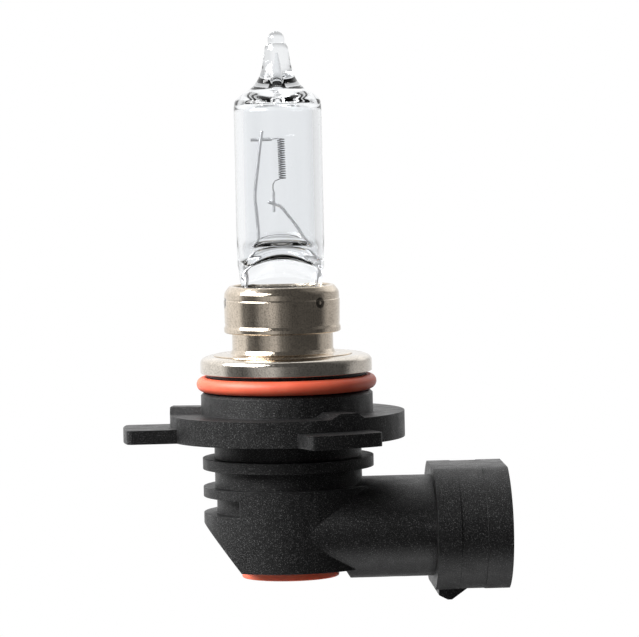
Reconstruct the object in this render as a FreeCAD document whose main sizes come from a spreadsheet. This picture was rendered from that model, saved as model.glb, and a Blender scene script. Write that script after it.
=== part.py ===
import FreeCAD, Part
import math
import os
import Sketcher

# Right-angle halogen headlight bulb, built from its separate pieces.
# +Z runs along the lamp axis towards the glass tip, and the connector points to +X. The origin is where the
# base axis meets the reference plane, the plane of the three lugs' top faces. Lengths are in millimetres.

DIMENSIONS = {
    # base moulding, from the top down
    "core_radius": 9.0, "core_top": 7.9,
    "land_radius": 9.56, "land_top": 6.3, "land_bottom": 5.9,
    "barrel_radius": 10.25, "barrel_top": 3.66, "barrel_chamfer": 0.35,
    "flange_radius": 14.0, "flange_top": 1.45, "flange_bottom": -1.65,
    "waist_radius": 8.78,
    "rib_radius": 10.2, "rib_top": -3.8, "rib_bottom": -5.1,
    "body_radius": 10.18, "body_top": -7.2, "body_bottom": -16.9,
    "side_groove_core": 8.6, "side_groove_top": -8.35, "side_groove_bottom": -10.3, "side_groove_edge": -6.17,
    "slant_side": -10.2, "slant_top": -11.5, "slant_foot": -6.14,
    # how far cutting and joining tools run past the faces they work on
    "overshoot": 1.0,
    # lugs and the ramps on the flange
    "lug_corner": 0.7,
    "lug_left_reach": 19.6, "lug_left_width": 8.6, "lug_left_angle": 180.0,
    "lug_front_reach": 17.7, "lug_front_width": 9.2, "lug_front_angle": -68.5,
    "lug_back_reach": 17.55, "lug_back_width": 8.0, "lug_back_angle": 60.0,
    "ramp_width": 4.6, "ramp_flat": 2.4, "ramp_root": 0.5,
    "ramp_low": 0.65, "ramp_high": 0.8,
    "ramp_front_angle": -61.6, "ramp_left_angle": 169.5, "ramp_back_angle": 57.0,
    # side arm and connector shroud
    "arm_depth": 10.04, "arm_height": 6.0, "arm_centre": -12.55,
    "arm_heel": 6.2, "arm_heel_run": 0.95, "arm_bottom": -18.6,
    "shroud_start": 16.9, "shroud_length": 8.9, "shroud_depth": 12.0, "shroud_height": 8.0,
    "shroud_flat": 7.2, "band_start": 19.7, "band_length": 3.1, "band_step": 0.15,
    "latch_heel": 17.45, "latch_crest": 18.5, "latch_crest_end": 19.0, "latch_toe": 21.05,
    "latch_width": 7.0, "latch_bottom": -21.2, "latch_heel_drop": 0.9,
    # hollow inside of the moulding
    "hollow_radius": 7.2, "hollow_floor": -13.0, "hollow_cone": 1.5, "bore_radius": 5.3,
    "socket_start": 11.0, "socket_depth": 8.4, "socket_height": 4.6, "socket_flat": 4.6,
    "mouth_start": 17.6, "mouth_depth": 10.7, "mouth_height": 6.7, "mouth_flat": 6.0,
    # terminals
    "blade_offset": 3.3, "blade_thickness": 0.8, "blade_width": 2.8, "blade_tip": 22.4, "blade_taper": 0.9,
    "riser_start": 3.3, "riser_top": 0.0, "tab_offset": 3.7, "tab_overlap": 0.9, "slot_gap": 0.05,
    # seals
    "ring_centre_radius": 9.87, "ring_section": 0.86, "ring_height": 5.0,
    "plug_lip_radius": 5.8, "plug_lip": 1.32, "plug_edge": 0.2, "plug_radius": 5.2, "plug_length": 2.2,
    # sheet-metal parts
    "sheet": 0.4,
    "cup_radius": 10.24, "cup_top": 8.35, "cup_rounding": 1.4, "cup_opening": 5.2,
    "burner_offset": -0.35,
    "neck_radius": 6.03, "neck_top": 15.0, "foot_radius": 8.3, "foot_thickness": 0.15, "foot_rounding": 0.4,
    "collar_radius": 6.92, "collar_bottom": 11.05, "collar_band_top": 12.0, "collar_band_radius": 6.97,
    "collar_shoulder": 15.25, "collar_top": 16.65, "collar_opening": 5.8, "collar_rounding": 1.32,
    "collar_inner_rounding": 1.08, "collar_fit": 0.1,
    "clip_level": 13.4, "clip_radius": 5.55, "clip_fold": 1.6,
    # glass
    "glass_radius": 5.21, "glass_wall": 1.1, "glass_foot": 19.2, "glass_foot_bottom": 17.2,
    "glass_shoulder": 37.9, "glass_rounding": 1.75,
    "dome_radius": 4.15, "dome_edge": 39.45, "dome_inner_radius": 2.93, "dome_top": 40.3, "tip_flare": 3.0,
    "tip_foot_radius": 1.95, "tip_foot": 41.8, "tip_neck_radius": 1.55, "tip_neck": 43.7,
    "tip_crease_radius": 0.9, "tip_radius": 1.0, "tip_top": 46.8,
    "tip_flank_radius": 1.3, "tip_flank": 44.86, "foot_flat": 2.6, "foot_bulge": 3.4,
    "floor_bottom": 18.2, "floor_flat": 2.2, "floor_bulge": 2.7, "floor_top": 19.9,
    "ceiling_edge": 37.5, "ceiling_rounding": 1.225, "ceiling_rim": 38.4, "ceiling": 38.7,
    "channel_radius": 0.9, "channel_neck": 41.2, "channel_top": 44.4,
    "pinch_width": 9.6, "pinch_thickness": 3.0, "pinch_bottom": 7.6, "pinch_top": 18.4,
    # wires inside the burner, in the burner's own frame
    "support_radius": 0.2, "support_plane": -0.41,
    "coil_radius": 0.43, "coil_bore": 0.24, "coil_bottom": 29.05, "coil_length": 5.1, "coil_shift": 0.35,
    "leg_radius": 0.085, "leg_inset": 0.15, "upper_leg_start": -1.58, "upper_leg_length": 1.6,
    "sleeve_radius": 0.21, "lower_sleeve_radius": 0.17, "sleeve_bore": 0.11, "sleeve_length": 2.5,
    "upper_sleeve_start": -3.27, "lower_sleeve_bottom": 25.15,
    "foil_thickness": 0.1, "foil_width": 2.4, "foil_bottom": 9.4, "foil_top": 15.6, "foil_offset": 3.4,
    "foil_room": 0.05,
    "lead_radius": 0.3, "lead_bottom": -2.4, "lead_top": 10.4,
    "insulator_radius": 0.9, "insulator_bore": 0.36, "insulator_bottom": 0.6, "insulator_length": 6.4,
}

# Straight runs of the bent wires, as (along X, height) in the burner's frame.
ROUTES = {
    "long_post": [(-4.15, 14.8), (-4.15, 18.4), (-2.94, 20.3), (-2.56, 22.6), (-2.91, 27.2), (-2.09, 34.1),
                  (-1.88, 35.1)],
    "short_post": [(4.15, 14.8), (4.15, 18.7), (3.23, 21.1), (0.82, 24.88), (0.06, 25.85), (-1.42, 26.5)],
    "lower_leg": [(-0.69, 26.6), (-0.69, 28.3), (-0.2, 29.2), (0.1, 29.2)],
}
for name, points in ROUTES.items():
    for number, (along, height) in enumerate(points):
        DIMENSIONS[f"{name}_x{number}"] = along
        DIMENSIONS[f"{name}_z{number}"] = height

document = FreeCAD.newDocument("headlight_bulb")
sheet = document.addObject("Spreadsheet::Sheet", "Dims")
for row, (alias, number) in enumerate(DIMENSIONS.items(), start=1):
    sheet.set(f"A{row}", alias)
    sheet.set(f"B{row}", str(number))
    sheet.setAlias(f"B{row}", alias)
document.recompute()

PIECES = []


def size(formula):
    """The number that a formula over the sheet gives."""
    return float(sheet.evalExpression(full(formula)))


def full(formula):
    """A formula with every dimension's name pointed at the sheet."""
    words, word = [], ""
    for letter in str(formula) + " ":
        if letter.isalpha() or (word and (letter.isdigit() or letter == "_")):
            word += letter
        else:
            words.append("Dims." + word if word in DIMENSIONS else word)
            words.append(letter)
            word = ""
    return "".join(words).strip()


def bind(item, **formulas):
    """Bind properties to formulas; two underscores in a name stand for a dot."""
    for name, formula in formulas.items():
        item.setExpression(name.replace("__", "."), full(formula))
    return item


def piece(item, label):
    """Name a finished sub-part, so that it is written to its own file."""
    item.Label = label
    PIECES.append(item)
    return item


def primitive(kind, name, **formulas):
    """A Part primitive whose sizes and place come from the sheet."""
    return bind(document.addObject("Part::" + kind, name), **formulas)


def block(name, low, high):
    """A box from its lowest to its highest corner, each three formulas."""
    spans = [f"({top}) - ({bottom})" for bottom, top in zip(low, high)]
    return primitive("Box", name, Length=spans[0], Width=spans[1], Height=spans[2],
                     Placement__Base__x=low[0], Placement__Base__y=low[1], Placement__Base__z=low[2])


def fuse(name, items):
    result = document.addObject("Part::MultiFuse", name)
    result.Shapes = items
    return result


def cut(name, base, tool):
    result = document.addObject("Part::Cut", name)
    result.Base, result.Tool = base, tool
    return result


def common(name, items):
    result = document.addObject("Part::MultiCommon", name)
    result.Shapes = items
    return result


def sketch_in(body, name, role):
    """An empty sketch on one of the body's own origin planes."""
    sketch = body.newObject("Sketcher::SketchObject", name)
    plane = [feature for feature in body.Origin.OriginFeatures if feature.Role == role][0]
    sketch.AttachmentSupport = (plane, [""])
    sketch.MapMode = "FlatFace"
    return sketch


def outline_edge(start, end, radius):
    """A line, or an arc that bulges to the left of its travel where the radius is positive."""
    if not radius:
        return Part.LineSegment(start, end)
    chord = end - start
    half = chord.Length / 2
    rise = math.copysign(abs(radius) - math.sqrt(max(radius ** 2 - half ** 2, 0)), radius)
    left = FreeCAD.Vector(-chord.y, chord.x, 0).normalize()
    return Part.Arc(start, (start + end) / 2 + left * rise, end)


def draw(body, name, role, outline, closed=True):
    """A sketch whose corners are pairs of formulas; a third formula bends the edge to the next corner."""
    sketch = sketch_in(body, name, role)
    corners = [FreeCAD.Vector(size(corner[0]), size(corner[1]), 0) for corner in outline]
    count = len(outline) if closed else len(outline) - 1
    starts = []
    for index in range(count):
        radius = outline[index][2] if len(outline[index]) > 2 else 0
        start, end = corners[index], corners[(index + 1) % len(corners)]
        edge = outline_edge(start, end, size(radius) if radius else 0)
        sketch.addGeometry(edge, False)
        starts.append(1 if sketch.getPoint(index, 1).distanceToPoint(start) < 1e-6 else 2)
        if radius:
            place = sketch.addConstraint(Sketcher.Constraint("Radius", index, abs(size(radius))))
            sketch.setExpression(f"Constraints[{place}]", full(f"abs({radius})"))
    for index in range(count):
        following = (index + 1) % count
        if closed or index < count - 1:
            sketch.addConstraint(Sketcher.Constraint("Coincident", index, 3 - starts[index],
                                                     following, starts[following]))
    for index, corner in enumerate(outline):
        edge, point = (index, starts[index]) if index < count else (count - 1, 3 - starts[count - 1])
        for kind, formula in (("DistanceX", corner[0]), ("DistanceY", corner[1])):
            place = sketch.addConstraint(Sketcher.Constraint(kind, -1, 1, edge, point, size(formula)))
            sketch.setExpression(f"Constraints[{place}]", full(formula))
    return sketch


def turned(name, outline):
    """A solid of revolution about Z; the outline's corners are (radius, height)."""
    body = document.addObject("PartDesign::Body", name)
    sketch = draw(body, name + "_outline", "XZ_Plane", outline)
    feature = body.newObject("PartDesign::Revolution", name + "_turn")
    feature.Profile = sketch
    feature.ReferenceAxis = (sketch, ["V_Axis"])
    feature.Angle = 360
    body.Tip = feature
    return body


def plate(name, role, outline, thickness, symmetric=False):
    """An outline on an origin plane, padded to a thickness."""
    body = document.addObject("PartDesign::Body", name)
    feature = body.newObject("PartDesign::Pad", name + "_pad")
    feature.Profile = draw(body, name + "_outline", role, outline)
    feature.Midplane = symmetric
    bind(feature, Length=thickness)
    body.Tip = feature
    return body


def wire(name, radius, depth):
    """A round wire along its route, in a plane parallel to XZ. The first run is vertical."""
    route = [(f"{name}_x{number}", f"{name}_z{number}") for number in range(len(ROUTES[name]))]
    body = document.addObject("PartDesign::Body", name)
    spine = draw(body, name + "_route", "XZ_Plane", route, closed=False)
    section = sketch_in(body, name + "_section", "XY_Plane")
    section.addGeometry(Part.Circle(FreeCAD.Vector(size(route[0][0]), 0, 0), FreeCAD.Vector(0, 0, 1),
                                    size(radius)), False)
    for kind, formula in (("DistanceX", route[0][0]), ("DistanceY", "0")):
        place = section.addConstraint(Sketcher.Constraint(kind, -1, 1, 0, 3, size(formula)))
        section.setExpression(f"Constraints[{place}]", full(formula))
    place = section.addConstraint(Sketcher.Constraint("Radius", 0, size(radius)))
    section.setExpression(f"Constraints[{place}]", full(radius))
    section.setExpression("AttachmentOffset.Base.z", full(route[0][1]))
    feature = body.newObject("PartDesign::AdditivePipe", name + "_sweep")
    feature.Profile = section
    document.recompute()
    feature.Spine = (spine, [f"Edge{number}" for number in range(1, len(route))])
    feature.Transition = "Round corner"
    body.Tip = feature
    return bind(body, Placement__Base__x="burner_offset", Placement__Base__y=depth)


def oval(name, depth, height, start, length):
    """An elliptical bar along X, centred on the arm's axis."""
    ellipse = primitive("Ellipse", name + "_section", MajorRadius=depth, MinorRadius=height)
    bar = document.addObject("Part::Extrusion", name)
    bar.Base = ellipse
    bar.DirMode = "Custom"
    bar.Dir = FreeCAD.Vector(0, 0, 1)
    bar.Solid = True
    bind(bar, LengthFwd=length, Placement__Base__x=start, Placement__Base__z="arm_centre")
    bar.Placement.Rotation = FreeCAD.Rotation(FreeCAD.Vector(0, 1, 0), FreeCAD.Vector(0, 0, 1),
                                              FreeCAD.Vector(1, 0, 0), "XYZ")
    return bar


def flattened_oval(name, depth, height, flat, start, length):
    """An elliptical bar along X whose top and bottom are cut flat."""
    slab = block(name + "_slab", (start, f"-({depth})", f"arm_centre - ({flat})"),
                 (f"{start} + {length}", depth, f"arm_centre + {flat}"))
    return common(name, [oval(name + "_bar", depth, height, start, length), slab])


def turn_about_axis(item, angle):
    """Turn a part of the moulding about the lamp axis by an angle from the sheet."""
    item.Placement = FreeCAD.Placement(FreeCAD.Vector(), FreeCAD.Rotation(FreeCAD.Vector(0, 0, 1), 0))
    return bind(item, Placement__Rotation__Angle=angle)


def lug(side):
    """A flat tab of the flange; its outer end is an arc about the lamp axis."""
    reach, width = f"lug_{side}_reach", f"lug_{side}_width"
    shoulder = f"sqrt({reach} * {reach} - {width} * {width} / 4)"
    outline = [("core_radius", f"-{width} / 2"), (shoulder, f"-{width} / 2", f"-{reach}"),
               (shoulder, f"{width} / 2"), ("core_radius", f"{width} / 2")]
    tab = plate(f"lug_{side}", "XY_Plane", outline, "-flange_bottom")
    document.recompute()
    corners = [f"Edge{number}" for number, edge in enumerate(tab.Shape.Edges, start=1)
               if all(math.hypot(v.X, v.Y) > size(reach) - 0.01 for v in edge.Vertexes)
               and abs(edge.BoundBox.ZLength + size("flange_bottom")) < 0.01]
    pad = tab.Tip
    rounding = tab.newObject("PartDesign::Fillet", f"lug_{side}_corners")
    rounding.Base = (pad, corners)
    bind(rounding, Radius="lug_corner")
    tab.Tip = rounding
    turn_about_axis(tab, f"lug_{side}_angle")
    return bind(tab, Placement__Base__z="flange_bottom")


def flange_ramp(side, height):
    """A low pad on the flange with sloped ends, running from the barrel out to the rim."""
    top = f"flange_top + {height}"
    outline = [("-ramp_width / 2", "flange_top - ramp_root"), ("ramp_width / 2", "flange_top - ramp_root"),
               ("ramp_width / 2", "flange_top"), ("ramp_flat / 2", top),
               ("-ramp_flat / 2", top), ("-ramp_width / 2", "flange_top")]
    bar = plate(f"ramp_{side}_bar", "YZ_Plane", outline, "flange_radius + overshoot")
    rim = primitive("Cylinder", f"ramp_{side}_rim", Radius="flange_radius", Height=top)
    return turn_about_axis(common(f"ramp_{side}", [bar, rim]), f"ramp_{side}_angle")


def base_housing():
    """The black moulding: turned body, lugs, arm and shroud, less every hollow in it."""
    core = turned("moulding", [
        ("0", "core_top"), ("0", "body_bottom"), ("body_radius", "body_bottom"), ("body_radius", "body_top"),
        ("waist_radius", "body_top"), ("waist_radius", "rib_bottom"), ("rib_radius", "rib_bottom"),
        ("rib_radius", "rib_top"), ("waist_radius", "rib_top"), ("waist_radius", "flange_bottom"),
        ("flange_radius", "flange_bottom"), ("flange_radius", "flange_top"), ("barrel_radius", "flange_top"),
        ("barrel_radius", "barrel_top"), ("barrel_radius - barrel_chamfer", "barrel_top + barrel_chamfer"),
        ("core_radius", "barrel_top + barrel_chamfer"), ("core_radius", "land_bottom"),
        ("land_radius", "land_bottom"), ("land_radius", "land_top"), ("core_radius", "land_top"),
        ("core_radius", "core_top")])
    lugs = [lug(side) for side in ("left", "front", "back")]
    ramps = [flange_ramp(side, height)
             for side, height in (("left", "ramp_high"), ("front", "ramp_low"), ("back", "ramp_high"))]
    arm = oval("arm", "arm_depth", "arm_height", "0", "shroud_start + overshoot")
    shroud = fuse("shroud", [
        flattened_oval("shroud_collar", "shroud_depth", "shroud_height", "shroud_flat", "shroud_start",
                       "band_start - shroud_start"),
        flattened_oval("shroud_band", "shroud_depth - band_step", "shroud_height - band_step",
                       "shroud_flat", "band_start", "band_length"),
        flattened_oval("shroud_mouth", "shroud_depth", "shroud_height", "shroud_flat",
                       "band_start + band_length",
                       "shroud_start + shroud_length - band_start - band_length")])
    shroud_bottom = "arm_centre - shroud_flat"
    latch = plate("latch", "XZ_Plane", [
        ("latch_heel", f"{shroud_bottom} + overshoot"), ("latch_heel", f"{shroud_bottom} - latch_heel_drop"),
        ("latch_crest", "latch_bottom"), ("latch_crest_end", "latch_bottom"),
        ("latch_toe", shroud_bottom), ("latch_toe", f"{shroud_bottom} + overshoot")],
        "latch_width", symmetric=True)
    solid = fuse("housing_solid", [core, arm, shroud, latch] + lugs + ramps)

    foot = "slant_foot - slant_side"
    trim = plate("underside_trim", "XZ_Plane", [
        (f"slant_side - ({foot}) / 2", "slant_top - (body_bottom - slant_top) / 2"),
        ("slant_foot", "body_bottom"), ("arm_heel", "body_bottom"), ("arm_heel + arm_heel_run", "arm_bottom"),
        ("arm_heel + arm_heel_run", "arm_bottom - overshoot"),
        (f"slant_side - ({foot}) / 2", "arm_bottom - overshoot")],
        "3 * arm_depth", symmetric=True)
    groove_ring = turned("side_groove_ring", [
        ("side_groove_core", "side_groove_bottom"), ("body_radius + overshoot", "side_groove_bottom"),
        ("body_radius + overshoot", "side_groove_top"), ("side_groove_core", "side_groove_top")])
    groove_half = block("side_groove_half",
                        ("-2 * body_radius", "-2 * body_radius", "side_groove_bottom - overshoot"),
                        ("side_groove_edge", "2 * body_radius", "side_groove_top + overshoot"))
    hollow = turned("hollow", [
        ("0", "core_top + overshoot"), ("0", "body_bottom - overshoot"),
        ("bore_radius", "body_bottom - overshoot"), ("bore_radius", "hollow_floor - hollow_cone"),
        ("hollow_radius", "hollow_floor"), ("hollow_radius", "core_top + overshoot")])
    socket = flattened_oval("socket", "socket_depth", "socket_height + overshoot", "socket_flat",
                            "socket_start", "2 * shroud_length")
    mouth = flattened_oval("mouth", "mouth_depth", "mouth_height", "mouth_flat", "mouth_start",
                           "shroud_length + overshoot")
    slots = [block(f"slot_{side}",
                   ("riser_start", f"{sign} * blade_offset - blade_thickness / 2 - slot_gap",
                    "arm_centre - blade_width / 2 - slot_gap"),
                   ("blade_tip", f"{sign} * blade_offset + blade_thickness / 2 + slot_gap",
                    "arm_centre + blade_width / 2 + slot_gap"))
             for side, sign in (("left", 1), ("right", -1))]
    hollows = fuse("housing_hollows",
                   [trim, common("side_groove", [groove_ring, groove_half]), hollow, socket, mouth] + slots)
    piece(cut("housing", solid, hollows), "base_housing")


def terminals():
    """Two stamped strips: blade in the socket, riser in the body, and a tab that reaches its lead."""
    half = "blade_thickness / 2"
    bottom, top = "arm_centre - blade_width / 2", "arm_centre + blade_width / 2"
    riser_end = "riser_start + blade_width"
    tab_low = "riser_top - blade_width"
    for side, sign, name in (("left", 1, "terminal_left"), ("right", -1, "terminal_right")):
        inner, outer = f"{sign} * blade_offset - {half}", f"{sign} * blade_offset + {half}"
        blade = plate(f"blade_{side}", "XZ_Plane", [
            ("riser_start", bottom), ("blade_tip - blade_taper", bottom),
            ("blade_tip", f"{bottom} + blade_taper"), ("blade_tip", f"{top} - blade_taper"),
            ("blade_tip - blade_taper", top), ("riser_start", top)], "blade_thickness", symmetric=True)
        bind(blade, Placement__Base__y=f"{sign} * blade_offset")
        riser = block(f"riser_{side}", ("riser_start", inner, bottom), (riser_end, outer, "riser_top"))
        strips = [blade, riser]
        if sign > 0:
            strips.append(block("crossbar", ("-tab_offset - blade_thickness", inner, tab_low),
                                (riser_end, outer, "riser_top")))
            strips.append(block("tab_left", ("-tab_offset - blade_thickness", "-tab_overlap", tab_low),
                                ("-tab_offset", outer, "riser_top")))
        else:
            strips.append(block("tab_right", ("tab_offset", inner, tab_low),
                                ("tab_offset + blade_thickness", "tab_overlap", "riser_top")))
        piece(fuse(name + "_strip", strips), name)


def seals():
    ring = primitive("Torus", "ring", Radius1="ring_centre_radius", Radius2="ring_section",
                     Placement__Base__z="ring_height")
    piece(ring, "o_ring")
    piece(turned("plug", [
        ("0", "body_bottom + plug_length"), ("0", "body_bottom - plug_lip"),
        ("plug_lip_radius - plug_edge", "body_bottom - plug_lip"),
        ("plug_lip_radius", "body_bottom - plug_lip + plug_edge"),
        ("plug_lip_radius", "body_bottom"), ("plug_radius", "body_bottom"),
        ("plug_radius", "body_bottom + plug_length")]), "rear_plug")


def metal_parts():
    """Drawn cup on the base, then the neck, the collar and the clip on the burner's own axis."""
    inner_rounding = "(cup_rounding - sheet)"
    cup = turned("cup", [
        ("cup_opening", "cup_top - sheet"), ("cup_radius - cup_rounding", "cup_top - sheet", inner_rounding),
        ("cup_radius - sheet", "cup_top - cup_rounding"), ("cup_radius - sheet", "land_top"),
        ("cup_radius", "land_top"), ("cup_radius", "cup_top - cup_rounding", "-cup_rounding"),
        ("cup_radius - cup_rounding", "cup_top"), ("cup_opening", "cup_top")])
    piece(cup, "base_cup")
    neck = turned("neck", [
        ("neck_radius - sheet", "cup_top"), ("foot_radius", "cup_top"),
        ("foot_radius", "cup_top + foot_thickness"),
        ("neck_radius + foot_rounding", "cup_top + foot_thickness", "foot_rounding"),
        ("neck_radius", "cup_top + foot_thickness + foot_rounding"), ("neck_radius", "neck_top"),
        ("neck_radius - sheet", "neck_top")])
    collar = turned("collar", [
        ("neck_radius + collar_fit", "collar_bottom"), ("collar_band_radius", "collar_bottom"),
        ("collar_band_radius", "collar_band_top"), ("collar_radius", "collar_band_top + collar_fit"),
        ("collar_radius", "collar_shoulder", "-collar_rounding"), ("collar_opening", "collar_top"),
        ("collar_opening", "collar_top - sheet", "collar_inner_rounding"),
        ("collar_radius - sheet", "collar_shoulder"),
        ("collar_radius - sheet", "collar_band_top + 2 * collar_fit"),
        ("neck_radius + collar_fit", "collar_band_top")])
    clip_ring = turned("clip_ring", [
        ("0", "clip_level"), ("clip_radius", "clip_level"), ("clip_radius", "clip_level + clip_fold"),
        ("clip_radius - sheet", "clip_level + clip_fold"), ("clip_radius - sheet", "clip_level + sheet"),
        ("0", "clip_level + sheet")])
    clip_slot = block(
        "clip_slot",
        ("-pinch_width / 2 - slot_gap", "-pinch_thickness / 2 - slot_gap", "clip_level - overshoot"),
        ("pinch_width / 2 + slot_gap", "pinch_thickness / 2 + slot_gap", "clip_level + overshoot"))
    clip = cut("clip", clip_ring, clip_slot)
    for item, label in ((neck, "burner_sleeve"), (collar, "burner_collar"), (clip, "pinch_clip")):
        piece(bind(item, Placement__Base__x="burner_offset"), label)


def cylinder(name, radius, low, length, along, depth):
    """A round bar parallel to Z in the burner's frame."""
    return primitive("Cylinder", name, Radius=radius, Height=length, Placement__Base__z=low,
                     Placement__Base__x=f"burner_offset + ({along})", Placement__Base__y=depth)


def burner_wires():
    """Supports, coil, legs, foils and leads. Returns what the quartz leaves room for in the pinch."""
    long_post = wire("long_post", "support_radius", "support_plane")
    short_post = wire("short_post", "support_radius", "support_plane")
    piece(long_post, "long_support_post")
    piece(short_post, "short_support_post")

    coil_tube = cut(
        "coil_tube",
        cylinder("coil", "coil_radius", "coil_bottom", "coil_length", "coil_shift", "0"),
        cylinder("coil_hole", "coil_bore", "coil_bottom - overshoot", "coil_length + 2 * overshoot",
                 "coil_shift", "0"))
    upper_leg = primitive("Cylinder", "upper_leg", Radius="leg_radius", Height="upper_leg_length",
                          Placement__Base__x="burner_offset + upper_leg_start",
                          Placement__Base__z="coil_bottom + coil_length - leg_inset")
    upper_leg.Placement.Rotation = FreeCAD.Rotation(FreeCAD.Vector(0, 1, 0), 90)
    lower_leg = wire("lower_leg", "leg_radius", "0")
    piece(fuse("filament_solid", [coil_tube, upper_leg, lower_leg]), "filament")

    for name, radius, height, along, low, angle in (
            ("upper", "sleeve_radius", "sleeve_length", "upper_sleeve_start",
             "coil_bottom + coil_length - leg_inset", 90),
            ("lower", "lower_sleeve_radius", "sleeve_length", "lower_leg_x0", "lower_sleeve_bottom", 0)):
        tube = [primitive("Cylinder", f"{name}_sleeve_{part}", Radius=bore, Height=height,
                          Placement__Base__x=f"burner_offset + ({along})", Placement__Base__z=low)
                for part, bore in (("outside", radius), ("bore", "sleeve_bore"))]
        for part in tube:
            part.Placement.Rotation = FreeCAD.Rotation(FreeCAD.Vector(0, 1, 0), angle)
        piece(cut(f"{name}_sleeve", *tube), f"{name}_leg_sleeve")

    sealed = [long_post, short_post]
    foil_front = "support_plane - support_radius - foil_thickness"
    for side, sign in (("left", -1), ("right", 1)):
        centre = f"burner_offset + {sign} * foil_offset"
        foil, pocket = [
            block(f"{name}_{side}", (f"{centre} - foil_width / 2", foil_front, "foil_bottom"),
                  (f"{centre} + foil_width / 2", f"support_plane - support_radius + {room}", "foil_top"))
            for name, room in (("foil", 0), ("foil_pocket", "foil_room"))]
        lead = cylinder(f"lead_{side}", "lead_radius", "lead_bottom", "lead_top - lead_bottom",
                        f"{sign} * foil_offset", f"{foil_front} + foil_thickness + lead_radius")
        tube = cut(f"insulator_{side}", *[
            cylinder(f"insulator_{side}_{part}", radius, "insulator_bottom", "insulator_length",
                     f"{sign} * foil_offset", f"{foil_front} + foil_thickness + lead_radius")
            for part, radius in (("outside", "insulator_radius"), ("bore", "insulator_bore"))])
        piece(foil, f"seal_foil_{side}")
        piece(lead, f"outer_lead_{side}")
        piece(tube, f"lead_insulator_{side}")
        sealed += [pocket, lead]
    return sealed


def quartz_envelope(sealed):
    """The quartz bulb with its exhaust tip, hollow inside, on its solid pinch seal."""
    crease = "(tip_top - tip_radius - sqrt(tip_radius * tip_radius - tip_crease_radius * tip_crease_radius))"
    outside = turned("glass_outside", [
        ("0", "tip_top"), ("0", "glass_foot_bottom"), ("foot_flat", "glass_foot_bottom", "-foot_bulge"),
        ("glass_radius", "glass_foot"), ("glass_radius", "glass_shoulder", "-glass_rounding"),
        ("dome_radius", "dome_edge"), ("dome_inner_radius", "dome_top", "tip_flare"),
        ("tip_foot_radius", "tip_foot"), ("tip_neck_radius", "tip_neck"),
        ("tip_flank_radius", "tip_flank"), ("tip_crease_radius", crease, "-tip_radius")])
    inside = turned("glass_inside", [
        ("0", "channel_top"), ("0", "floor_bottom"),
        ("floor_flat", "floor_bottom", "-floor_bulge"), ("glass_radius - glass_wall", "floor_top"),
        ("glass_radius - glass_wall", "ceiling_edge", "-ceiling_rounding"),
        ("dome_radius - glass_wall", "ceiling_rim"), ("channel_radius", "ceiling"),
        ("channel_radius / 2", "channel_neck")])
    pinch = block("pinch", ("-pinch_width / 2", "-pinch_thickness / 2", "pinch_bottom"),
                  ("pinch_width / 2", "pinch_thickness / 2", "pinch_top"))
    glass = bind(cut("glass_shell", fuse("glass_solid", [outside, pinch]), inside),
                 Placement__Base__x="burner_offset")
    piece(cut("glass", glass, fuse("sealed_wires", sealed)), "quartz_envelope")


base_housing()
terminals()
seals()
metal_parts()
quartz_envelope(burner_wires())
document.recompute()

faults = [item.Label for item in document.Objects if {"Invalid", "Error"} & set(item.State)]
faults += [item.Label for item in PIECES if item.Shape.isNull() or not item.Shape.isValid()]
if faults:
    raise RuntimeError("failed objects: " + ", ".join(faults))

os.makedirs("parts", exist_ok=True)
for item in PIECES:
    item.Shape.exportStep(f"parts/{item.Label}.step")
    box = item.Shape.BoundBox
    print(f"{item.Label:22s} {item.Shape.Volume:9.2f} mm3, {len(item.Shape.Solids)} solid(s), "
          f"z {box.ZMin:.2f} to {box.ZMax:.2f}")
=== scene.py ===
import math
import bmesh
import bpy
from mathutils import Matrix, Vector


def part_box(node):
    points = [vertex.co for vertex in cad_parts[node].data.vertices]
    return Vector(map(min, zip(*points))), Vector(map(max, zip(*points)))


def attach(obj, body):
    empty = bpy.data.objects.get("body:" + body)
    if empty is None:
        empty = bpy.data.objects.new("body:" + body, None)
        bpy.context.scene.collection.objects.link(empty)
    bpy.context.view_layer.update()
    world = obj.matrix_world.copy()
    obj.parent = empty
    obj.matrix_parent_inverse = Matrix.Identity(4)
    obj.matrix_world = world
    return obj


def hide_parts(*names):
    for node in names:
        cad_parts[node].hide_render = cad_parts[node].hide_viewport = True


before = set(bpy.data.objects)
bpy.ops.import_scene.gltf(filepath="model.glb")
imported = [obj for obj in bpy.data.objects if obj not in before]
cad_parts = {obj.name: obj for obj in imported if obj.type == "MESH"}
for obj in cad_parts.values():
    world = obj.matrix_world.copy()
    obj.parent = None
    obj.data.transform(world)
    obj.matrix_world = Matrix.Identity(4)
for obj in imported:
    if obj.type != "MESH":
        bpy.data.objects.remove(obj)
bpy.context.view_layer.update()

MM = 0.001


# ---------------------------------------------------------------- sizes from the frame

def low(node):
    """Lowest corner of a CAD node's box, in millimetres."""
    return Vector(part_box(node)[0]) / MM


def high(node):
    """Highest corner of a CAD node's box, in millimetres."""
    return Vector(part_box(node)[1]) / MM


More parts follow.
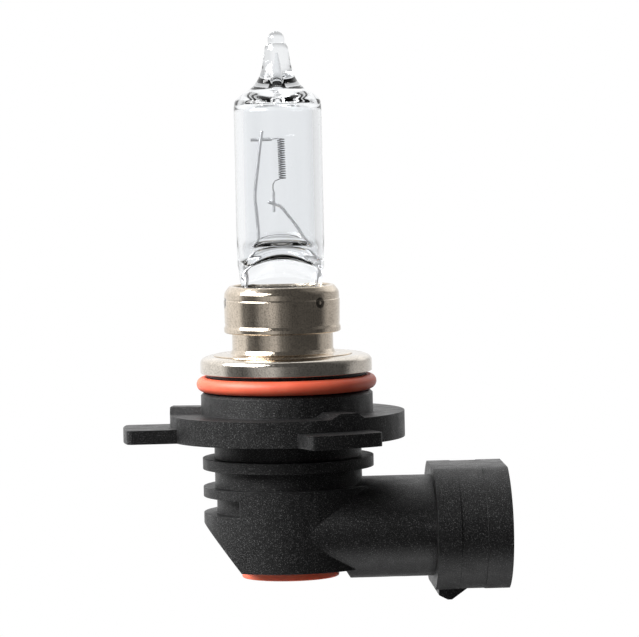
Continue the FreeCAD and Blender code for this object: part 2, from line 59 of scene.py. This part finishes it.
BURNER_X = (low("quartz_envelope").x + high("quartz_envelope").x) / 2
GLASS_RADIUS = (high("quartz_envelope").x - low("quartz_envelope").x) / 2
GLASS_TOP = high("quartz_envelope").z
PINCH_BOTTOM = low("quartz_envelope").z
COLLAR_RADIUS = (high("burner_collar").x - low("burner_collar").x) / 2
COLLAR_BOTTOM = low("burner_collar").z
COLLAR_TOP = high("burner_collar").z
FOOT_RADIUS = (high("burner_sleeve").x - low("burner_sleeve").x) / 2
FOOT_BOTTOM = low("burner_sleeve").z
NECK_TOP = high("burner_sleeve").z
CUP_RADIUS = (high("base_cup").x - low("base_cup").x) / 2
CUP_BOTTOM = low("base_cup").z
RING_MIDDLE = (low("o_ring").z + high("o_ring").z) / 2
RING_SECTION = (high("o_ring").z - low("o_ring").z) / 2
RING_RADIUS = (high("o_ring").x - low("o_ring").x) / 2 - RING_SECTION
PLUG_RADIUS = (high("rear_plug").x - low("rear_plug").x) / 2
PLUG_BOTTOM = low("rear_plug").z
PLUG_TOP = high("rear_plug").z
OBJECT_BOTTOM = low("base_housing").z
COIL_TOP = high("filament").z
POST_RADIUS = (high("long_support_post").y - low("long_support_post").y) / 2
POST_DEPTH = (low("long_support_post").y + high("long_support_post").y) / 2

# no node's box shows these
NECK_RADIUS = 6.03
PLUG_LIP = 1.32
COIL_BOTTOM = 29.05


# ---------------------------------------------------------------- node helpers

class Shader:
    """A material's node tree with short calls for the nodes that the materials share."""

    def __init__(self, name):
        self.material = bpy.data.materials.new(name)
        self.material.use_nodes = True
        self.nodes = self.material.node_tree.nodes
        self.links = self.material.node_tree.links
        self.surface = self.nodes["Principled BSDF"]
        self.place = self.add("ShaderNodeTexCoord").outputs["Object"]

    def add(self, kind, **settings):
        """A new node with its settings."""
        node = self.nodes.new(kind)
        for name, value in settings.items():
            setattr(node, name, value)
        return node

    def join(self, source, node, socket):
        """Link a source to a node's socket and hand the node back."""
        self.links.new(source, node.inputs[socket])
        return node

    def constants(self, **values):
        """Set the surface's own sockets; an underscore in a name stands for a space."""
        for name, value in values.items():
            self.surface.inputs[name.replace("_", " ")].default_value = value
        return self

    def stretched(self, x, y, z):
        """Object coordinates in units of the given lengths, in millimetres."""
        node = self.join(self.place, self.add("ShaderNodeMapping"), "Vector")
        node.inputs["Scale"].default_value = (1 / (x * MM), 1 / (y * MM), 1 / (z * MM))
        return node.outputs["Vector"]

    def noise(self, size, detail=2.0, roughness=0.5, place=None):
        """Noise whose blotches are about size millimetres across."""
        node = self.add("ShaderNodeTexNoise")
        self.join(place or self.stretched(size, size, size), node, "Vector")
        node.inputs["Scale"].default_value = 1.0
        node.inputs["Detail"].default_value = detail
        node.inputs["Roughness"].default_value = roughness
        return node.outputs["Fac"]

    def ramp(self, source, stops):
        """A colour ramp; a stop is (position, grey level or colour)."""
        node = self.join(source, self.add("ShaderNodeValToRGB"), "Fac")
        while len(node.color_ramp.elements) < len(stops):
            node.color_ramp.elements.new(0.5)
        for element, (position, colour) in zip(node.color_ramp.elements, stops):
            element.position = position
            element.color = (colour,) * 3 + (1,) if isinstance(colour, (int, float)) else (*colour, 1)
        return node.outputs["Color"]

    def blend(self, kind, factor, first, second):
        """Mix two colours; the factor is a number or a socket."""
        node = self.add("ShaderNodeMix", data_type="RGBA", blend_type=kind)
        for socket, value in ((0, factor), (6, first), (7, second)):
            if isinstance(value, bpy.types.NodeSocket):
                self.links.new(value, node.inputs[socket])
            else:
                node.inputs[socket].default_value = value
        return node.outputs[2]

    def bump(self, *layers):
        """Stack bumps; a layer is (height socket, depth in millimetres, strength)."""
        normal = None
        for height, depth, strength in layers:
            node = self.join(height, self.add("ShaderNodeBump"), "Height")
            node.inputs["Distance"].default_value = depth * MM
            node.inputs["Strength"].default_value = strength
            if normal:
                self.join(normal, node, "Normal")
            normal = node.outputs["Normal"]
        self.join(normal, self.surface, "Normal")
        return self

    def colour(self, socket):
        """Let a socket drive the surface's colour."""
        self.join(socket, self.surface, "Base Color")
        return self

    def roughness(self, socket):
        """Let a socket drive the surface's roughness."""
        self.join(socket, self.surface, "Roughness")
        return self


# ---------------------------------------------------------------- materials

def black_moulding():
    """Glass-filled black plastic with an eroded, slightly sparkling grain."""
    s = Shader("black_moulding")
    grain = s.noise(0.2, 3.0, 0.75)
    flecks = s.noise(0.11, 2.0, 0.6)
    mottle = s.noise(1.6, 3.0)
    base = s.ramp(grain, [(0.35, (0.002, 0.002, 0.002)), (0.7, (0.010, 0.010, 0.0105))])
    light = s.ramp(flecks, [(0.56, 0.0), (0.76, 0.16)])
    s.colour(s.blend("ADD", 1.0, base, light))
    s.roughness(s.ramp(mottle, [(0.3, 0.34), (0.7, 0.48)]))
    s.bump((grain, 0.06, 0.8), (flecks, 0.04, 0.6))
    return s.constants(Specular_IOR_Level=0.27).material


def nickel(name, streak, tone, welds=()):
    """Satin nickel plate, with fine drawing marks along Z, a frosted grain and any weld marks."""
    weld_radius = 0.75
    s = Shader(name)
    marks = s.noise(1.0, 3.0, 0.6, s.stretched(0.12, 0.12, streak))
    grain = s.noise(0.14, 2.0, 0.7)
    clouds = s.noise(2.2, 3.0)
    dark = tuple(0.86 * value for value in tone)
    warm = s.ramp(clouds, [(0.3, dark), (0.7, tone)])
    plated = s.blend("MULTIPLY", 0.5, warm, s.ramp(marks, [(0.3, 0.72), (0.62, 1.0)]))
    plated = s.blend("MULTIPLY", 0.55, plated, s.ramp(grain, [(0.36, 0.3), (0.52, 1.0)]))
    layers = [(marks, 0.008, 0.3), (grain, 0.012, 0.35)]
    for spot in welds:
        reach = s.join(s.place, s.add("ShaderNodeVectorMath", operation="DISTANCE"), 0)
        reach.inputs[1].default_value = [value * MM for value in spot]
        share = s.join(reach.outputs["Value"], s.add("ShaderNodeMath", operation="DIVIDE"), 0)
        share.inputs[1].default_value = weld_radius * MM
        ring = s.ramp(share.outputs[0], [(0.0, 1.0), (0.2, 0.8), (0.36, 0.12), (0.62, 0.3), (0.74, 0.14),
                                         (0.92, 0.9), (1.0, 1.0)])
        plated = s.blend("MULTIPLY", 1.0, plated, ring)
        layers.append((ring, 0.04, 0.8))
    s.colour(plated)
    s.roughness(s.ramp(grain, [(0.3, 0.08), (0.7, 0.2)]))
    s.bump(*layers)
    return s.constants(Metallic=1.0).material


def wire_metal(name, tone, rough):
    """Drawn wire: grey metal with fine scratches along it."""
    s = Shader(name)
    scratches = s.noise(1.0, 3.0, 0.6, s.stretched(0.05, 0.05, 0.6))
    patches = s.noise(0.5, 2.0)
    dark = tuple(0.85 * value for value in tone)
    s.colour(s.blend("MULTIPLY", 0.35, s.ramp(patches, [(0.35, dark), (0.6, tone)]),
                     s.ramp(scratches, [(0.35, 0.5), (0.6, 1.0)])))
    s.roughness(s.ramp(patches, [(0.3, rough), (0.7, rough + 0.15)]))
    s.bump((scratches, 0.004, 0.3))
    return s.constants(Metallic=1.0).material


def silicone(name, tone, pale):
    """Orange silicone rubber with a soft bloom on it."""
    s = Shader(name)
    bloom = s.noise(2.5, 3.0)
    dust = s.noise(0.12, 2.0, 0.6)
    s.colour(s.ramp(bloom, [(0.3, tone), (0.75, pale)]))
    s.roughness(s.ramp(dust, [(0.3, 0.38), (0.7, 0.52)]))
    s.bump((dust, 0.01, 0.25))
    return s.constants(Subsurface_Weight=0.25, Subsurface_Radius=(0.0012, 0.0004, 0.0002),
                       Subsurface_Scale=1.0).material


def quartz():
    """Clear fused quartz with faint drawing ripples."""
    s = Shader("quartz")
    ripple = s.noise(3.0, 2.0, 0.4, s.stretched(2.5, 2.5, 9.0))
    s.colour(s.ramp(ripple, [(0.3, (0.905, 0.92, 0.935)), (0.7, (0.925, 0.937, 0.95))]))
    s.bump((ripple, 0.02, 0.12))
    return s.constants(Roughness=0.0, IOR=1.46, Transmission_Weight=1.0).material


def tinned_brass():
    """Tinned brass with marks along X."""
    s = Shader("tinned_brass")
    marks = s.noise(1.0, 3.0, 0.6, s.stretched(1.5, 0.08, 0.08))
    wear = s.noise(0.8, 3.0)
    s.colour(s.ramp(wear, [(0.35, (0.62, 0.6, 0.55)), (0.65, (0.78, 0.77, 0.74))]))
    s.roughness(s.ramp(marks, [(0.3, 0.22), (0.7, 0.38)]))
    s.bump((marks, 0.006, 0.3))
    return s.constants(Metallic=1.0).material


def glass_fibre():
    """Braided tube of glass fibre, off-white."""
    s = Shader("glass_fibre")
    braid = s.add("ShaderNodeTexWave", wave_type="BANDS", bands_direction="DIAGONAL")
    s.join(s.stretched(1.0, 1.0, 1.0), braid, "Vector")
    braid.inputs["Scale"].default_value = 2.0
    braid.inputs["Distortion"].default_value = 1.0
    s.colour(s.ramp(braid.outputs["Fac"], [(0.2, (0.62, 0.6, 0.54)), (0.8, (0.86, 0.85, 0.8))]))
    s.bump((braid.outputs["Fac"], 0.05, 0.5))
    return s.constants(Roughness=0.7).material


# ---------------------------------------------------------------- mesh helpers

def rounded(outline, facets=5):
    """A closed outline of (x, y) or (x, y, bend): a bend's corner becomes an arc of that radius."""
    points = []
    for index, corner in enumerate(outline):
        here = Vector(corner[:2])
        if len(corner) < 3:
            points.append(here)
            continue
        back = Vector(outline[index - 1][:2]) - here
        ahead = Vector(outline[(index + 1) % len(outline)][:2]) - here
        half = back.angle(ahead) / 2
        reach = min(corner[2] / math.tan(half), 0.49 * back.length, 0.49 * ahead.length)
        radius = reach * math.tan(half)
        centre = here + (back.normalized() + ahead.normalized()).normalized() * (radius / math.sin(half))
        first = here + back.normalized() * reach - centre
        last = here + ahead.normalized() * reach - centre
        turn = first.angle_signed(last)
        for step in range(facets + 1):
            points.append(centre + Matrix.Rotation(-turn * step / facets, 2) @ first)
    return points


def as_object(name, mesh_maker, material, smooth=40, closed=True):
    """Turn a filled bmesh, in millimetres, into an object. A closed one gets its normals outwards."""
    bmesh.ops.scale(mesh_maker, vec=(MM, MM, MM), verts=mesh_maker.verts)
    if closed:
        bmesh.ops.recalc_face_normals(mesh_maker, faces=mesh_maker.faces)
    mesh = bpy.data.meshes.new(name)
    mesh_maker.to_mesh(mesh)
    mesh_maker.free()
    mesh.materials.append(material)
    piece = bpy.data.objects.new(name, mesh)
    bpy.context.collection.objects.link(piece)
    mesh.shade_smooth()
    mesh.set_sharp_from_angle(angle=math.radians(smooth))
    return piece


def spin(bm, outline, centre_x=0.0, steps=160):
    """Spin a closed (radius, height) outline about a vertical axis into a bmesh."""
    rings = []
    for radius, height in outline:
        if radius < 1e-6:
            rings.append([bm.verts.new((centre_x, 0, height))] * steps)
            continue
        rings.append([bm.verts.new((centre_x + radius * math.cos(math.tau * k / steps),
                                    radius * math.sin(math.tau * k / steps), height)) for k in range(steps)])
    for ring, following in zip(rings, rings[1:] + rings[:1]):
        if ring[0] is ring[1] and following[0] is following[1]:
            continue
        for k in range(steps):
            corners = [ring[k], ring[(k + 1) % steps], following[(k + 1) % steps], following[k]]
            bm.faces.new(list(dict.fromkeys(corners)))


def lathe(name, outline, material, centre_x=0.0, steps=160):
    """A turned piece from a closed (radius, height) outline, whose corners may have a bend."""
    bm = bmesh.new()
    spin(bm, rounded(outline), centre_x, steps)
    return as_object(name, bm, material)


def tube(name, route, radius, material):
    """A round wire along a smooth curve drawn by a route of points."""
    curve = bpy.data.curves.new(name + "_route", "CURVE")
    curve.dimensions = "3D"
    curve.resolution_u = 10
    spline = curve.splines.new("NURBS")
    spline.points.add(len(route) - 1)
    for point, place in zip(spline.points, route):
        point.co = (*(value * MM for value in place), 1)
    spline.order_u = 3
    spline.use_endpoint_u = True
    guide = bpy.data.objects.new(name + "_guide", curve)
    line = [vertex.co / MM for vertex in bpy.data.meshes.new_from_object(guide).vertices]
    bpy.data.objects.remove(guide)
    return swept(name, line, radius, material)


def swept(name, line, radius, material, sides=20, chamfer=0.3):
    """Sweep a circle along a list of points, without twist, and close both ends with a small chamfer."""
    bm = bmesh.new()
    side = Vector((0, 1, 0))
    rings = []
    count = len(line)
    for index, place in enumerate(line):
        ahead = (line[min(index + 1, count - 1)] - line[max(index - 1, 0)]).normalized()
        side = (side - ahead * side.dot(ahead)).normalized()
        up = ahead.cross(side)
        sizes = [(0.0, radius)]
        if index == 0:
            sizes = [(0.0, radius * (1 - chamfer)), (radius * chamfer, radius)]
        elif index == count - 1:
            sizes = [(-radius * chamfer, radius), (0.0, radius * (1 - chamfer))]
        for along, size in sizes:
            rings.append([bm.verts.new(place + ahead * along + (side * math.cos(math.tau * k / sides)
                                       + up * math.sin(math.tau * k / sides)) * size) for k in range(sides)])
    for ring, following in zip(rings, rings[1:]):
        for k in range(sides):
            bm.faces.new((ring[k], ring[(k + 1) % sides], following[(k + 1) % sides], following[k]))
    bm.faces.new(rings[0])
    bm.faces.new(rings[-1])
    return as_object(name, bm, material)


def stands_for(piece, node):
    """Make a detailed piece ride on the frame in place of a CAD node."""
    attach(piece, "root")
    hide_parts(node)
    return piece


# ---------------------------------------------------------------- glass

def squashed_ring(bm, height, width, depth, power, arch, steps):
    """A ring of points on a superellipse, whose front and back middles are raised by the arch."""
    ring = []
    for k in range(steps):
        angle = math.tau * k / steps
        c, s = math.cos(angle), math.sin(angle)
        across = math.copysign(abs(c) ** (2 / power), c)
        ring.append(bm.verts.new((BURNER_X + width * across, depth * math.copysign(abs(s) ** (2 / power), s),
                                  height + arch * (1 - across * across))))
    return ring


def loft(bm, sections, steps=160):
    """Skin a stack of superellipse sections (height, width, depth, power, arch) and close both ends."""
    rings = [squashed_ring(bm, *section, steps) for section in sections]
    for ring, following in zip(rings, rings[1:]):
        for k in range(steps):
            bm.faces.new((ring[k], ring[(k + 1) % steps], following[(k + 1) % steps], following[k]))
    for ring in (rings[0], rings[-1]):
        bm.faces.new(ring)


def ease(share):
    """A share from 0 to 1 with a soft start and end."""
    return share * share * (3 - 2 * share)


def blend_sections(keys, steps):
    """Fill in smooth sections between a few key sections."""
    filled = []
    for start, end in zip(keys, keys[1:]):
        for step in range(steps):
            share = step / steps
            height = start[0] + (end[0] - start[0]) * share
            filled.append((height, *(a + (b - a) * ease(share) for a, b in zip(start[1:], end[1:]))))
    return filled + [keys[-1]]


def smooth_line(points, steps=8):
    """A smooth curve through (radius, height) points, as a Catmull-Rom spline."""
    padded = [points[0]] + points + [points[-1]]
    line = []
    for a, b, c, d in zip(padded, padded[1:], padded[2:], padded[3:]):
        for step in range(steps):
            t = step / steps
            line.append(tuple(0.5 * (2 * q + (r - p) * t + (2 * p - 5 * q + 4 * r - s) * t * t
                                     + (3 * q - p - 3 * r + s) * t ** 3) for p, q, r, s in zip(a, b, c, d)))
    return line + [points[-1]]


def glass_pieces():
    """The quartz: outer skin from pinch to tip, and the cavity's skin inside it, in one mesh."""
    radius, wall, ball_radius = GLASS_RADIUS, 1.05, 1.0
    bm = bmesh.new()
    pinch = [(PINCH_BOTTOM, 4.75, 1.45, 8.0, 0.0), (15.6, 4.8, 1.5, 8.0, 0.0), (16.6, 4.85, 1.55, 6.0, 0.9),
             (18.0, 5.0, 2.6, 3.0, 1.8), (19.2, 5.15, 4.2, 2.2, 2.0), (21.8, radius, radius, 2.0, 0.0)]
    shoulder = [(radius, 22.0), (radius, 37.3)]
    top = smooth_line([(radius, 37.4), (radius - 0.05, 38.1), (4.95, 38.75), (4.2, 39.4), (3.3, 39.95),
                       (2.55, 40.7), (2.0, 41.7), (1.68, 42.9), (1.52, 44.0), (1.38, 44.8), (1.1, 45.35)], 14)
    ball = [(ball_radius * math.sin(angle), GLASS_TOP - ball_radius + ball_radius * math.cos(angle))
            for angle in (math.radians(value) for value in range(115, 1, -3))]
    outside = blend_sections(pinch, 8)
    outside += [(height, size, size, 2.0, 0.0) for size, height in shoulder + top + ball]
    loft(bm, outside)
    inner = radius - wall
    mound = [(20.0, 0.6, 0.1, 2.0, 0.0), (19.8, 2.0, 0.35, 2.0, 0.3), (19.2, 3.4, 1.0, 2.0, 1.1),
             (19.6, 4.0, 2.4, 2.0, 1.5), (22.4, inner, inner, 2.0, 0.0)]
    ceiling = smooth_line([(inner, 37.0), (inner - 0.06, 37.6), (3.7, 38.15), (3.0, 38.5), (1.9, 38.7),
                           (1.0, 38.95), (0.7, 39.6), (0.5, 41.0), (0.35, 42.6), (0.12, 44.2)], 12)
    cavity = blend_sections(mound, 7) + [(height, size, size, 2.0, 0.0) for size, height in ceiling]
    skin = set(bm.faces)
    loft(bm, cavity)
    bmesh.ops.recalc_face_normals(bm, faces=bm.faces)
    bmesh.ops.reverse_faces(bm, faces=[face for face in bm.faces if face not in skin])
    envelope = as_object("envelope", bm, quartz(), smooth=55, closed=False)
    stands_for(envelope, "quartz_envelope")


def burner_point(x, z, depth=0.0):
    """A point given from the burner's own axis."""
    return Vector((BURNER_X + x, depth, z))


def wires():
    """Coil with its legs, and the two bent supports."""
    tungsten = wire_metal("tungsten", (0.26, 0.26, 0.27), 0.35)
    molybdenum = wire_metal("molybdenum", (0.93, 0.93, 0.94), 0.3)
    turns, per_turn = 18, 20
    coil_x, coil_radius, wire_radius, lean = 0.35, 0.40, 0.06, 0.10
    length = COIL_TOP - COIL_BOTTOM - 2 * wire_radius
    coil = []
    for step in range(turns * per_turn + 1):
        share = step / (turns * per_turn)
        angle = math.tau * share * turns + math.pi
        coil.append(burner_point(coil_x + lean * (share - 0.5) + coil_radius * math.cos(angle),
                                 COIL_TOP - wire_radius - length * share, coil_radius * math.sin(angle)))
    upper = [burner_point(-1.6, 34.0), burner_point(-1.1, 34.0), burner_point(-0.5, 34.03),
             burner_point(-0.2, 34.06, -0.01)]
    lower = [burner_point(-0.15, 29.06, -0.02), burner_point(-0.5, 28.92), burner_point(-0.72, 28.55),
             burner_point(-0.76, 28.1), burner_point(-0.71, 27.6), burner_point(-0.69, 26.8)]
    line = upper + coil + lower
    stands_for(swept("coil", line, wire_radius, tungsten, sides=10), "filament")

    long_post = [(-4.15, 14.9), (-4.15, 16.6), (-4.13, 18.2), (-3.3, 19.9), (-2.72, 21.2), (-2.55, 22.6),
                 (-2.78, 25.6), (-2.94, 27.2), (-2.7, 29.2), (-2.4, 31.6), (-2.1, 34.1), (-1.9, 35.05)]
    short_post = [(4.15, 14.9), (4.15, 17.0), (4.1, 18.9), (3.7, 19.9), (3.2, 21.2), (2.55, 22.5),
                  (1.7, 23.8), (0.85, 24.9), (0.35, 25.6), (0.0, 25.9), (-0.7, 26.2), (-1.4, 26.46)]
    for name, node, route in (("long_post", "long_support_post", long_post),
                              ("short_post", "short_support_post", short_post)):
        points = [burner_point(x, z, POST_DEPTH) for x, z in route]
        stands_for(tube(name, points, POST_RADIUS, molybdenum), node)
    for node in ("upper_leg_sleeve", "lower_leg_sleeve", "seal_foil_left", "seal_foil_right",
                 "outer_lead_left", "outer_lead_right"):
        finish_node(node, molybdenum)


# ---------------------------------------------------------------- metal

def collar():
    """Rolled collar: lipped mouth, round shoulder, straight wall and a flared foot band."""
    weld_drop, first_weld = 1.95, -52
    r, bottom, top = COLLAR_RADIUS, COLLAR_BOTTOM, COLLAR_TOP
    outline = [(r - 1.22, top - 0.32, 0.1), (r - 1.12, top - 0.02, 0.1), (r - 0.72, top - 0.03, 0.6),
               (r - 0.14, top - 0.78, 0.8), (r - 0.1, top - 1.5, 0.4), (r - 0.14, top - 1.62, 0.05),
               (r - 0.05, top - 1.74, 0.1), (r - 0.1, bottom + 1.2, 0.4), (r - 0.14, bottom + 0.9, 0.15),
               (r, bottom + 0.55, 0.3), (r - 0.01, bottom + 0.12, 0.12), (r - 0.14, bottom, 0.06),
               (r - 0.8, bottom), (r - 0.8, bottom + 0.9), (r - 0.5, bottom + 1.2), (r - 0.5, top - 1.5, 0.4),
               (r - 0.95, top - 0.5, 0.3)]
    welds = [(BURNER_X + r * math.cos(angle), r * math.sin(angle), top - weld_drop)
             for angle in (math.radians(first_weld + 120 * turn) for turn in range(3))]
    plated = nickel("nickel_collar", 2.6, (0.84, 0.73, 0.60), welds)
    stands_for(lathe("collar", outline, plated, BURNER_X, 192), "burner_collar")


def neck():
    """Straight neck with a flat foot flange, which stands on the cup."""
    r, foot, bottom = NECK_RADIUS, FOOT_RADIUS, FOOT_BOTTOM
    outline = [(r - 0.4, bottom + 0.02), (foot - 0.05, bottom), (foot, bottom + 0.06, 0.04),
               (foot - 0.15, bottom + 0.15, 0.1), (r + 0.3, bottom + 0.17, 0.25),
               (r + 0.12, bottom + 0.5, 0.15), (r, bottom + 0.72, 0.1), (r, NECK_TOP, 0.1),
               (r - 0.4, NECK_TOP)]
    plated = nickel("nickel_neck", 1.6, (0.84, 0.73, 0.60))
    stands_for(lathe("neck", outline, plated, BURNER_X, 192), "burner_sleeve")


def cup():
    """Drawn cup, open below, with a hole under the neck."""
    sheet, hole = 0.4, 5.2
    r, bottom, top = CUP_RADIUS, CUP_BOTTOM, FOOT_BOTTOM
    outline = [(hole, top - sheet), (r - sheet, top - sheet, 1.0), (r - sheet, bottom, 0.05),
               (r, bottom, 0.08), (r, top - 0.35, 1.1), (r - 1.0, top, 0.6), (hole, top)]
    plated = nickel("nickel_cup", 0.25, (0.84, 0.77, 0.68))
    stands_for(lathe("cup", outline, plated, 0.0, 224), "base_cup")


# ---------------------------------------------------------------- seals

def seal_ring():
    """Plain O-ring of round section."""
    steps = 40
    outline = [(RING_RADIUS + RING_SECTION * math.cos(angle), RING_MIDDLE + RING_SECTION * math.sin(angle))
               for angle in (math.tau * k / steps for k in range(steps))]
    orange = silicone("orange_ring", (0.80, 0.125, 0.062), (0.87, 0.17, 0.09))
    stands_for(lathe("seal_ring", outline, orange, 0.0, 192), "o_ring")


def plug():
    """Round plug with a lip below its seat and a slimmer shaft in the bore."""
    r, bottom = PLUG_RADIUS, PLUG_BOTTOM
    seat, shaft = bottom + PLUG_LIP, r - 0.6
    outline = [(0, bottom + 0.02), (r - 0.7, bottom + 0.02, 0.1), (r - 0.5, bottom, 0.1), (r, bottom, 0.16),
               (r, seat - 0.42, 0.08), (r - 0.1, seat - 0.34, 0.06), (r - 0.1, seat), (shaft, seat),
               (shaft, PLUG_TOP, 0.2), (0, PLUG_TOP)]
    orange = silicone("orange_plug", (0.80, 0.14, 0.07), (0.87, 0.19, 0.1))
    stands_for(lathe("plug", outline, orange, 0.0, 128), "rear_plug")


# ---------------------------------------------------------------- base

def finish_node(node, material):
    """Give a CAD node its material."""
    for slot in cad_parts[node].material_slots:
        slot.material = material


def moulding():
    """The housing with every hard edge of the moulding broken."""
    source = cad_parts["base_housing"]
    bm = bmesh.new()
    bm.from_mesh(source.data)
    bmesh.ops.scale(bm, vec=(1 / MM,) * 3, verts=bm.verts)
    bmesh.ops.remove_doubles(bm, verts=bm.verts, dist=0.002)
    bmesh.ops.dissolve_limit(bm, angle_limit=math.radians(1.0), verts=bm.verts, edges=bm.edges)
    piece = as_object("moulding", bm, black_moulding(), smooth=30)
    soften = piece.modifiers.new("broken_edges", "BEVEL")
    soften.width = 0.14 * MM
    soften.segments = 3
    soften.limit_method = "ANGLE"
    soften.angle_limit = math.radians(28)
    soften.harden_normals = True
    stands_for(piece, "base_housing")


# ---------------------------------------------------------------- stage

def camera():
    """A long lens, a little above the flange and turned slightly away from the connector."""
    distance, yaw, pitch, roll = 560.0, math.radians(-2.9), math.radians(3.75), math.radians(-1.25)
    target = Vector((4.1, 0.0, 12.5))
    seen_width = 76.1688
    data = bpy.data.cameras.new("view")
    data.sensor_width = 36.0
    data.lens = data.sensor_width * distance / seen_width
    data.clip_start, data.clip_end = 0.05, 20
    shot = bpy.data.objects.new("view", data)
    bpy.context.collection.objects.link(shot)
    back = Vector((math.sin(yaw) * math.cos(pitch), -math.cos(yaw) * math.cos(pitch), math.sin(pitch)))
    shot.location = (target + back * distance) * MM
    aim = (-back).to_track_quat("-Z", "Y").to_matrix().to_4x4()
    shot.matrix_world = Matrix.Translation(shot.location) @ aim @ Matrix.Rotation(roll, 4, "Z")
    bpy.context.scene.camera = shot


def studio():
    """A tent that the metal and the glass mirror: white behind and to the left, darker in front and below.

    The camera itself sees plain white, and rays that have passed through the glass see half of each.
    """
    below, seen_through = (0.1, 0.1, 0.1, 1), 0.5
    world = bpy.data.worlds.new("tent")
    world.use_nodes = True
    bpy.context.scene.world = world
    nodes, links = world.node_tree.nodes, world.node_tree.links

    def add(kind, sources=(), **settings):
        """A node with its settings; a source is (socket number, output or constant)."""
        node = nodes.new(kind)
        for name, value in settings.items():
            setattr(node, name, value)
        for socket, source in sources:
            if isinstance(source, bpy.types.NodeSocket):
                links.new(source, node.inputs[socket])
            else:
                node.inputs[socket].default_value = source
        return node

    def panels(levels):
        """Brightness round the tent; a level is (azimuth from the camera's side in degrees, brightness)."""
        ramp = add("ShaderNodeValToRGB", [(0, turn)])
        ramp.color_ramp.interpolation = "EASE"
        while len(ramp.color_ramp.elements) < len(levels):
            ramp.color_ramp.elements.new(0.5)
        for element, (angle, level) in zip(ramp.color_ramp.elements, levels):
            element.position = (angle + 180) / 360
            element.color = (level, level, level, 1)
        return ramp.outputs["Color"]

    def step(start, end):
        """A smooth step over the height of the ray's direction."""
        return add("ShaderNodeMapRange", [(0, way.outputs["Z"]), (1, start), (2, end)],
                   interpolation_type="SMOOTHSTEP").outputs["Result"]

    def mixed(share, first, second):
        """Two colours, mixed by a share."""
        return add("ShaderNodeMix", [(0, share), (6, first), (7, second)], data_type="RGBA").outputs[2]

    way = add("ShaderNodeSeparateXYZ", [(0, add("ShaderNodeTexCoord").outputs["Generated"])])
    front = add("ShaderNodeMath", [(0, way.outputs["Y"]), (1, -1.0)], operation="MULTIPLY")
    around = add("ShaderNodeMath", [(0, way.outputs["X"]), (1, front.outputs[0])], operation="ARCTAN2")
    turn = add("ShaderNodeMapRange", [(0, around.outputs[0]), (1, -math.pi), (2, math.pi)]).outputs["Result"]
    walls = panels([(-180, 1.0), (-150, 1.0), (-100, 0.98), (-84, 0.2), (-62, 0.1), (-40, 0.42), (-22, 0.6),
                    (-2, 0.16), (20, 0.08), (80, 0.08), (104, 0.5), (150, 0.75), (172, 1.0)])
    roof = panels([(-180, 1.3), (-110, 1.1), (-80, 0.3), (-30, 0.1), (60, 0.08), (100, 0.25), (140, 1.2)])
    tent = mixed(step(0.12, 0.35), mixed(step(-0.2, -0.6), walls, below), roof)
    path = add("ShaderNodeLightPath").outputs
    plain = add("ShaderNodeMath", [(0, path["Is Transmission Ray"]), (1, seen_through),
                                   (2, path["Is Camera Ray"])], operation="MULTIPLY_ADD", use_clamp=True)
    links.new(mixed(plain.outputs[0], tent, (1, 1, 1, 1)), nodes["Background"].inputs["Color"])


def soft_box():
    """A soft box high on the left, which draws broad highlights down the moulding's left side."""
    lamp = bpy.data.lights.new("soft_box", "AREA")
    lamp.shape = "RECTANGLE"
    lamp.size, lamp.size_y = 0.8, 0.5
    lamp.energy = 14.0
    box = bpy.data.objects.new("soft_box", lamp)
    bpy.context.collection.objects.link(box)
    around, above, metres_away = math.radians(-70), math.radians(38), 0.8
    out = Vector((math.sin(around) * math.cos(above), -math.cos(around) * math.cos(above), math.sin(above)))
    box.location = out * metres_away
    box.rotation_euler = out.to_track_quat("Z", "Y").to_euler()


def floor():
    """A pale round floor, well below the lamp, which hangs in its tent."""
    radius, drop = 240, 400
    bm = bmesh.new()
    bmesh.ops.create_circle(bm, cap_ends=True, radius=radius, segments=96)
    ground = Shader("paper")
    dust = ground.noise(40.0, 2.0)
    ground.colour(ground.ramp(dust, [(0.3, 0.93), (0.7, 0.95)]))
    ground.constants(Roughness=0.9, Emission_Color=(1, 1, 1, 1), Emission_Strength=0.3)
    sheet = as_object("floor", bm, ground.material)
    sheet.location.z = (OBJECT_BOTTOM - drop) * MM


def main():
    """Make every piece, then the CAD nodes' materials and the stage."""
    glass_pieces()
    wires()
    collar()
    neck()
    cup()
    seal_ring()
    plug()
    moulding()
    brass, braid = tinned_brass(), glass_fibre()
    for side in ("left", "right"):
        finish_node("terminal_" + side, brass)
        finish_node("lead_insulator_" + side, braid)
    finish_node("pinch_clip", nickel("spring_steel", 1.0, (0.6, 0.59, 0.56)))
    camera()
    studio()
    soft_box()
    floor()
    bpy.context.scene.view_settings.view_transform = "Standard"


main()
